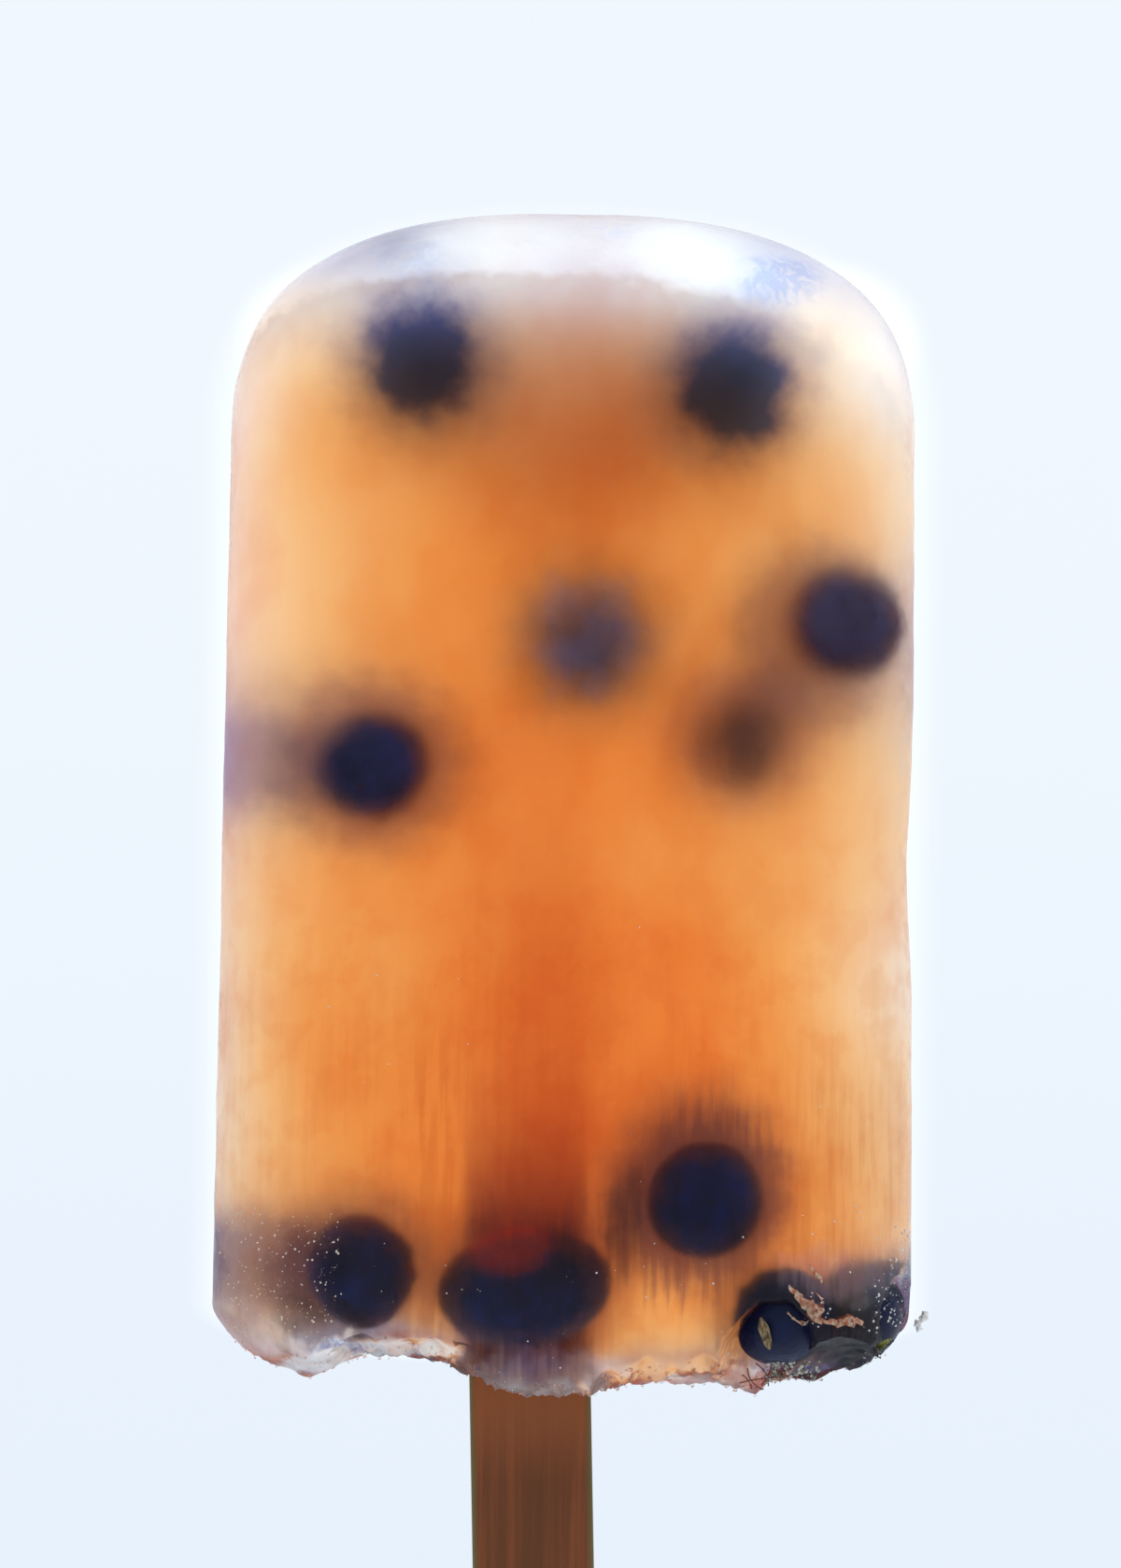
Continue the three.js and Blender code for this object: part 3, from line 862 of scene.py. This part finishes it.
def berry_place(facts):
    """The middle of a berry, so that its skin comes just to its face of the ice."""
    at, where, radius, widen, turn = facts
    if at == "base":
        return Vector(where)
    half = Vector((radius * widen, radius * BERRY_HEIGHT, radius))
    back = berry_turn(turn).transposed()

    def reach(direction):
        seen = back @ direction
        return Vector(c * h for c, h in zip(seen, half)).length

    x, y = where
    deep = reach(Vector((0, 0, 1))) + SKIN_DEPTH
    if at == "front":
        return Vector((x, y, thickness_at(y) - deep))
    if at == "back":
        return Vector((x, y, deep))
    slant = Vector((math.copysign(1.0, x), 0, 1)).normalized()
    out = SIDE_ROUND - reach(slant) - SKIN_DEPTH
    edge_x = math.copysign(half_width_at(y) - SIDE_ROUND, x)
    return Vector((edge_x, y, thickness_at(y) - SIDE_ROUND)) + slant * out


BERRY_SIDES = 80
BALL_STEPS = 36
CROWN_STARTS = math.radians(60)
CROWN = (  # the crown's rim and the cup in it: how far out and how far up, as shares of the radius
    (0.455, 0.80),
    (0.445, 0.845),
    (0.42, 0.87),
    (0.37, 0.872),
    (0.33, 0.85),
    (0.27, 0.80),
    (0.2, 0.75),
    (0.1, 0.735),
)
CROWN_FLOOR = 0.73
CROWN_LOBES = 5
LOBE_HEIGHT = 0.028
BERRY_UNEVEN = 0.012


def berry_piece(name, facts, material):
    radius, widen, turn = facts[2:]
    middle = berry_place(facts)
    spin = berry_turn(turn)
    profile = []
    for i in range(1, BALL_STEPS + 1):
        angle = mix(-math.pi / 2, CROWN_STARTS, i / BALL_STEPS)
        profile.append((math.cos(angle), BERRY_HEIGHT * math.sin(angle)))
    crown_from = len(profile)
    profile.extend(CROWN)

    def placed(x, y, z):
        uneven = 1 + BERRY_UNEVEN * noise.noise(Vector((x, y, z)) * 2.3 + middle)
        out = spin @ Vector((x * radius * widen, y * radius, z * radius)) * uneven
        return tuple(middle + out)

    rings = []
    for level, (out, up) in enumerate(profile):
        ring = []
        for k in range(BERRY_SIDES):
            around = math.tau * k / BERRY_SIDES
            lobe = 0.0
            if level >= crown_from and out > 0.25:
                lobe = LOBE_HEIGHT * math.cos(CROWN_LOBES * around) - 0.006
            ring.append(placed(out * math.cos(around), up + lobe, -out * math.sin(around)))
        rings.append(ring)
    points, faces = loft(rings, placed(0, -BERRY_HEIGHT, 0), placed(0, CROWN_FLOOR, 0))
    piece = new_object(name + "_fruit", points, faces, material)
    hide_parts(name)
    return piece


# ----------------------------------------------------------------- stick

STICK_RINGS = 220
STICK_CORNER = 0.45
STICK_END_ROUND = 0.4


def stick_piece(material):
    half = STICK_WIDTH / 2
    straight = STICK_LENGTH / 2 - half
    middle_y = STICK_IN_ICE - STICK_LENGTH / 2
    middle = Vector((STICK_X_AT_BASE - middle_y * math.tan(STICK_LEAN), middle_y, STICK_Z))
    spin = Euler((0, 0, STICK_LEAN)).to_matrix()

    def placed(x, s, z):
        return tuple(middle + spin @ Vector((x, s, z)))

    rings = []
    for i in range(1, STICK_RINGS):
        turn = i / STICK_RINGS * math.pi
        s = -math.cos(turn) * STICK_LENGTH / 2
        past = max(0.0, abs(s) - straight) / half
        across = half * math.sqrt(max(0.0, 1 - past**2))
        deep = STICK_THICKNESS / 2
        deep -= drawn_back(STICK_END_ROUND, STICK_LENGTH / 2 - abs(s)) * 0.9
        rings.append([placed(x, s, z) for x, z in rounded_box(across, deep, STICK_CORNER)])
    points, faces = loft(rings, placed(0, -STICK_LENGTH / 2, 0), placed(0, STICK_LENGTH / 2, 0))
    piece = new_object("stick_blade", points, faces, material)
    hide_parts("stick")
    return piece


# ------------------------------------------------- frost and small scraps

RIM_FROST = 2600  # how many grains
RIM_FROST_REACH = 1.2
RIM_FROST_SIZES = (0.05, 0.25)
RIM_FROST_OFF = 0.15
FACE_FROST = (  # how many grains, the largest, then the lowest and highest x and y
    (300, 0.14, (-28.2, -18.0), (3.4, 14.0)),
    (60, 0.16, (-26.0, -19.0), (5.0, 13.0)),
    (50, 0.14, (20.0, 28.0), (4.0, 16.0)),
    (60, 0.15, (-20.0, 16.0), (0.3, 12.0)),
    (50, 0.12, (-27.5, 27.5), (12.0, 40.0)),
    (120, 0.20, (25.2, 28.3), (4.4, 9.2)),
    (40, 0.24, (26.6, 28.4), (7.0, 13.5)),
    (36, 0.20, (19.4, 21.6), (5.0, 7.6)),
)


def add_grain(points, faces, middle, size, draw):
    """An irregular crystal with eight faces."""
    spin = Euler([draw.uniform(0, math.tau) for _ in range(3)]).to_matrix()
    first = len(points)
    for axis in range(3):
        for way in (-1, 1):
            corner = Vector((0, 0, 0))
            corner[axis] = way * size * draw.uniform(0.55, 1.2)
            points.append(tuple(Vector(middle) + spin @ corner))
    for a in (0, 1):
        for b in (2, 3):
            for c in (4, 5):
                faces.append((first + a, first + b, first + c))


def lolly_point(place):
    """The lolly's own millimetres of a point in the frame."""
    return Vector(place) / MM - Vector((0, FRAME_SHIFT, 0))


def face_below(tree, x, y):
    """The highest point of a mesh at x and y, or None where there is no mesh."""
    return tree.ray_cast(Vector((x, y, 60.0)), Vector((0, 0, -1)))[0]


def surface_of(pieces):
    """What lies on top of these pieces, for placing things on it."""
    meshes = [
        ([lolly_point(v.co) for v in p.data.vertices], [tuple(f.vertices) for f in p.data.polygons])
        for p in pieces
    ]
    return BVHTree.FromPolygons(*joined(meshes))


def grains_piece(name, points, faces, material):
    piece = new_object(name, points, faces, material)
    piece.data.polygons.foreach_set("use_smooth", [False] * len(piece.data.polygons))


def rim_frost(ice, material):
    draw = random.Random(11)
    points, faces = [], []
    rim = [lolly_point(v.co) for v in ice.data.vertices]
    rim = [p for p in rim if p.y + base_stands_out(p.x, p.z) < RIM_FROST_REACH and p.z > 3.0]
    for _ in range(RIM_FROST):
        spot = draw.choice(rim)
        off = Vector(draw.uniform(-RIM_FROST_OFF, RIM_FROST_OFF) for _ in range(3))
        add_grain(points, faces, spot + off, mix(*RIM_FROST_SIZES, draw.random() ** 2), draw)
    grains_piece("rim_frost", points, faces, material)


def face_frost(tree, material):
    draw = random.Random(12)
    points, faces = [], []
    for count, largest, across, along in FACE_FROST:
        for _ in range(count):
            spot = face_below(tree, draw.uniform(*across), draw.uniform(*along))
            if spot is not None:
                add_grain(points, faces, spot, mix(0.03, largest, draw.random() ** 3), draw)
    grains_piece("face_frost", points, faces, material)


FROST_PALE = colour(1.0, 0.93, 0.84)
FROST_CREAM = colour(1.0, 0.84, 0.66)


def frost_look(name, clear, rough, ior):
    """White frost, cream at the left of the lolly unless it is clear."""
    look = Look(name)
    cloudy = look.ranged(look.clouds(0.5, 3.0), 0.35, 0.65)
    warm = look.product(look.ranged(look.along("X"), 4.0, -12.0), 1.0 - clear)
    surface = look.add(
        "ShaderNodeBsdfPrincipled",
        {
            "Base Color": look.blend(look.blend(FROST_PALE, WHITE, cloudy), FROST_CREAM, warm),
            "Roughness": look.ranged(cloudy, 0.0, 1.0, rough * 0.7, rough * 1.3),
            "IOR": ior,
            "Transmission Weight": clear,
        },
    )
    return look.show(surface)


SCRAPS = {  # dark, pale, size of the grain, roughness and how clear
    # a ridge of pink ice whose pale tone is a painted highlight on the broken edge
    "pink_ice_highlight": ((0.62, 0.17, 0.08), (1.0, 0.74, 0.52), 0.35, 0.3, 0.3),
    "dry_leaf": ((0.10, 0.06, 0.03), (0.36, 0.26, 0.13), 0.3, 0.5, 0.0),
    "green_leaf": ((0.16, 0.18, 0.04), (0.50, 0.50, 0.15), 0.3, 0.5, 0.0),
    "fibre": ((0.16, 0.04, 0.035), (0.30, 0.12, 0.09), 0.3, 0.6, 0.0),
    "grey_crust": ((0.30, 0.27, 0.22), (0.74, 0.74, 0.64), 0.4, 0.6, 0.0),
}


def scrap_look(name):
    look = Look(name)
    dark, pale, size, rough, clear = SCRAPS[name]
    grain = look.clouds(size, 4.0, stretch=(1, 2.5, 1))
    tone = look.blend(colour(*dark), colour(*pale), look.ranged(grain, 0.35, 0.65))
    surface = look.add(
        "ShaderNodeBsdfPrincipled",
        {
            "Base Color": tone,
            "Roughness": rough,
            "IOR": ICE_IOR,
            "Transmission Weight": clear,
            "Normal": look.bump(grain, 0.05),
        },
    )
    return look.show(surface)


# The broken corner's ridge of ice, its pale peach tone a painted highlight along the broken edge:
# x, y and half its width
BROKEN_EDGES = (
    (
        (18.3, 8.4, 0.06),
        (18.9, 7.6, 0.20),
        (19.6, 7.0, 0.34),
        (20.4, 6.3, 0.50),
        (20.3, 5.8, 0.36),
        (21.4, 5.4, 0.16),
        (22.4, 5.3, 0.28),
        (23.4, 5.5, 0.42),
        (24.3, 5.4, 0.10),
    ),
    ((20.0, 10.0, 0.05), (20.3, 9.5, 0.12), (20.8, 8.9, 0.14), (21.1, 8.5, 0.05)),
    ((20.6, 7.7, 0.04), (20.9, 7.3, 0.13), (21.1, 7.0, 0.04)),
    ((18.2, 6.2, 0.04), (18.6, 5.7, 0.08), (19.3, 5.3, 0.09), (20.3, 5.2, 0.05)),
)
EDGE_JAGS = ((1.0, 3.0, 0.30), (7.0, 9.0, 0.26))  # z to read the noise at, how fine, and how far
EDGE_RAGGED = 1.5
EDGE_STEPS = 6
EDGE_LOWEST = 19.5  # z, so that the ridge spans the gaps between the pieces of ice
LEAF = ((16.5, 4.4), 1.45, 0.45, 14)  # middle, half length, half width, turn in degrees
SPRIG = ((26.0, 3.0), 1.2, 0.26, -56)
LEAF_TILT = (12, -8)  # about x and y, in degrees
LEAF_LIFT = 0.35
LEAF_HALF_THICKNESS = 0.06
FIBRES = (  # where each starts and ends, and how far it bows
    ((15.9, 1.6), (17.0, -0.4), 0.3),
    ((15.2, 1.2), (16.5, -0.6), -0.3),
    ((14.2, 0.0), (18.6, 0.5), 0.35),
    ((17.2, 1.6), (16.4, -0.2), 0.2),
    ((14.8, 0.7), (15.6, -0.5), 0.15),
    ((17.6, 1.1), (19.4, 0.4), -0.2),
)
FIBRE_RADIUS = 0.055
FIBRE_STEPS = 14
FIBRE_HEIGHTS = (17.0, 19.5)
FLOAT = 0.1  # how far fibres and ridges stand off what they lie on
CRUST = (150, (16.8, 21.2), (0.0, 1.9))  # how many crumbs, and the lowest and highest x and y
CRUST_SIZES = (0.07, 0.30)
SIDE_FLAKE = (29.35, 4.6, 13.0)
FLAKE_GRAINS = ((0, 0, 0), (0.35, 0.4, 0.3), (0.1, -0.4, -0.4), (0.55, 0.75, 0.2))
FLAKE_GRAIN_SIZE = 0.42
TUBE_SIDES = 10


def tube(centres, radii, ragged=0.0):
    """A closed tube through these points, drawn to a point at each end."""
    rings = []
    for i, (centre, radius) in enumerate(zip(centres, radii)):
        ahead = centres[min(i + 1, len(centres) - 1)] - centres[max(i - 1, 0)]
        across = ahead.cross(Vector((0, 0, 1))).normalized()
        up = across.cross(ahead).normalized()
        ring = []
        for k in range(TUBE_SIDES):
            turn = math.tau * k / TUBE_SIDES
            out = across * math.cos(turn) + up * math.sin(turn)
            swell = 1 + ragged * noise.noise((centre + out * radius) * 3.7)
            ring.append(tuple(centre + out * radius * swell))
        rings.append(ring)
    return loft(rings, tuple(centres[0]), tuple(centres[-1]))


def joined(parts):
    points, faces = [], []
    for some_points, some_faces in parts:
        faces.extend(tuple(i + len(points) for i in face) for face in some_faces)
        points.extend(some_points)
    return points, faces


def broken_edges(tree, material):
    parts = []
    for edge in BROKEN_EDGES:
        centres, radii = [], []
        for start, end in zip(edge, edge[1:]):
            for step in range(EDGE_STEPS):
                x, y, radius = (mix(a, b, step / EDGE_STEPS) for a, b in zip(start, end))
                jag = sum(noise.noise(Vector((x, y, z)) * fine) * far for z, fine, far in EDGE_JAGS)
                spot = face_below(tree, x, y) or Vector((x, y, THICKNESS_AT_BASE - 3))
                centres.append(Vector((x + jag, y - jag, max(spot.z, EDGE_LOWEST) + FLOAT)))
                radii.append(radius)
        parts.append(tube(centres, radii, EDGE_RAGGED))
    piece = new_object("broken_edge", *joined(parts), material)


def leaf_scrap(name, facts, tree, material):
    """A thin pointed scrap of leaf, a little folded along its rib."""
    (x, y), half_length, half_width, turn = facts
    spin = Euler([math.radians(t) for t in (*LEAF_TILT, turn)]).to_matrix()
    middle = Vector((x, y, face_below(tree, x, y).z + LEAF_LIFT))
    rings = []
    for i in range(1, 24):
        s = mix(-1, 1, i / 24)
        across = half_width * (1 - s * s) ** 0.7 * (1 + 0.2 * noise.noise(Vector((s * 3, x, 0))))
        ring = []
        for k in range(16):
            around = math.tau * k / 16
            side = math.cos(around) * across
            up = abs(side) * 0.5 + 0.12 * math.sin(3 * s) + LEAF_HALF_THICKNESS * math.sin(around)
            ring.append(tuple(middle + spin @ Vector((side, s * half_length, up))))
        rings.append(ring)
    ends = [tuple(middle + spin @ Vector((0, s * half_length, 0))) for s in (-1, 1)]
    piece = new_object(name, *loft(rings, *ends), material)


def fibres(tree, material):
    parts = []
    lowest, highest = FIBRE_HEIGHTS
    for (x0, y0), (x1, y1), bow in FIBRES:
        centres = []
        for i in range(FIBRE_STEPS + 1):
            share = i / FIBRE_STEPS
            side = bow * math.sin(math.pi * share)
            x, y = mix(x0, x1, share) + side, mix(y0, y1, share) + side * 0.4
            spot = face_below(tree, x, y)
            height = spot.z if spot is not None else 18.0
            centres.append(Vector((x, y, min(max(height, lowest), highest) + FLOAT)))
        parts.append(tube(centres, [FIBRE_RADIUS] * len(centres)))
    piece = new_object("leaf_fibres", *joined(parts), material)


def crust_piece(tree, material):
    draw = random.Random(5)
    points, faces = [], []
    count, across, along = CRUST
    for _ in range(count):
        spot = face_below(tree, draw.uniform(*across), draw.uniform(*along))
        if spot is not None and spot.z > 3:
            add_grain(points, faces, spot, mix(*CRUST_SIZES, draw.random() ** 2), draw)
    piece = new_object("crust_crumbs", points, faces, material)


def side_flake(material):
    points, faces = [], []
    draw = random.Random(3)
    for off in FLAKE_GRAINS:
        add_grain(points, faces, Vector(SIDE_FLAKE) + Vector(off), FLAKE_GRAIN_SIZE, draw)
    grains_piece("side_flake", points, faces, material)


# ----------------------------------------------------------------- stage

FLOOR_HALF = 3.0  # metres
FLOOR_DROP = 0.05


def floor():
    mesh = bpy.data.meshes.new("floor")
    corners = [(x * FLOOR_HALF, y * FLOOR_HALF, 0) for x, y in ((-1, -1), (1, -1), (1, 1), (-1, 1))]
    mesh.from_pydata(corners, [], [(0, 1, 2, 3)])
    mesh.materials.append(floor_look())
    plane = bpy.data.objects.new("floor", mesh)
    plane.location.z = -FLOOR_DROP * MM
    bpy.context.scene.collection.objects.link(plane)


STUDIO_COLOUR = colour(0.86, 0.925, 1.0)
STUDIO_HEIGHTS = (0.1, 0.8)  # the share of the way up where the light starts and stops to fade
STUDIO_STRENGTHS = (1.12, 0.55)  # low down and overhead


def surroundings():
    """A pale studio all round, dimmer overhead, so that the light comes from beneath."""
    world = bpy.data.worlds.new("studio")
    world.use_nodes = True
    bpy.context.scene.world = world
    tree = world.node_tree
    tree.nodes.clear()
    kinds = ("TexCoord", "SeparateXYZ", "MapRange", "Background", "OutputWorld")
    where, split, fade, shine, output = (tree.nodes.new("ShaderNode" + kind) for kind in kinds)
    for name, value in zip(RANGE_ENDS, STUDIO_HEIGHTS + STUDIO_STRENGTHS):
        fade.inputs[name].default_value = value
    shine.inputs["Color"].default_value = STUDIO_COLOUR
    tree.links.new(where.outputs["Generated"], split.inputs[0])
    tree.links.new(split.outputs["Z"], fade.inputs["Value"])
    tree.links.new(fade.outputs[0], shine.inputs["Strength"])
    tree.links.new(shine.outputs[0], output.inputs["Surface"])


# The camera looks straight down. The photo is 1200 by 1679 pixels, 13 of them to a millimetre.
PHOTO_HEIGHT = 1679
PIXELS_PER_MM = 13.0
CAMERA_MIDDLE = (-0.64, 48.5, 12.0)
CAMERA_HEIGHT = 550.0
CAMERA_ROLL = math.radians(0.79)
SENSOR = 36.0


def camera():
    data = bpy.data.cameras.new("camera")
    data.sensor_width = SENSOR
    data.lens = SENSOR * CAMERA_HEIGHT * PIXELS_PER_MM / PHOTO_HEIGHT
    data.clip_start, data.clip_end = 0.01, 20.0
    eye = bpy.data.objects.new("camera", data)
    eye.location = in_frame(CAMERA_MIDDLE) + Vector((0, 0, CAMERA_HEIGHT * MM))
    eye.rotation_euler = (0, 0, CAMERA_ROLL)
    bpy.context.scene.collection.objects.link(eye)
    bpy.context.scene.camera = eye


def main():
    scene = bpy.context.scene
    scene.view_settings.view_transform = "Standard"
    scene.cycles.max_bounces = 9
    scene.cycles.transmission_bounces = 9
    scene.cycles.transparent_max_bounces = 10
    camera()
    surroundings()
    floor()
    ice = ice_piece(ice_look())
    heart_piece(heart_look())
    stick_piece(wood_look())
    skin = berry_look()
    berries = [berry_piece(name, facts, skin) for name, facts in BERRIES.items()]
    tree = surface_of([ice, *berries])
    rim_frost(ice, frost_look("clear_frost", 1.0, 0.3, 1.15))
    white = frost_look("white_frost", 0.1, 0.5, ICE_IOR)
    face_frost(tree, white)
    side_flake(white)
    broken_edges(tree, scrap_look("pink_ice_highlight"))
    leaf_scrap("leaf_scrap", LEAF, tree, scrap_look("dry_leaf"))
    leaf_scrap("green_sprig", SPRIG, tree, scrap_look("green_leaf"))
    fibres(tree, scrap_look("fibre"))
    crust_piece(tree, scrap_look("grey_crust"))


main()
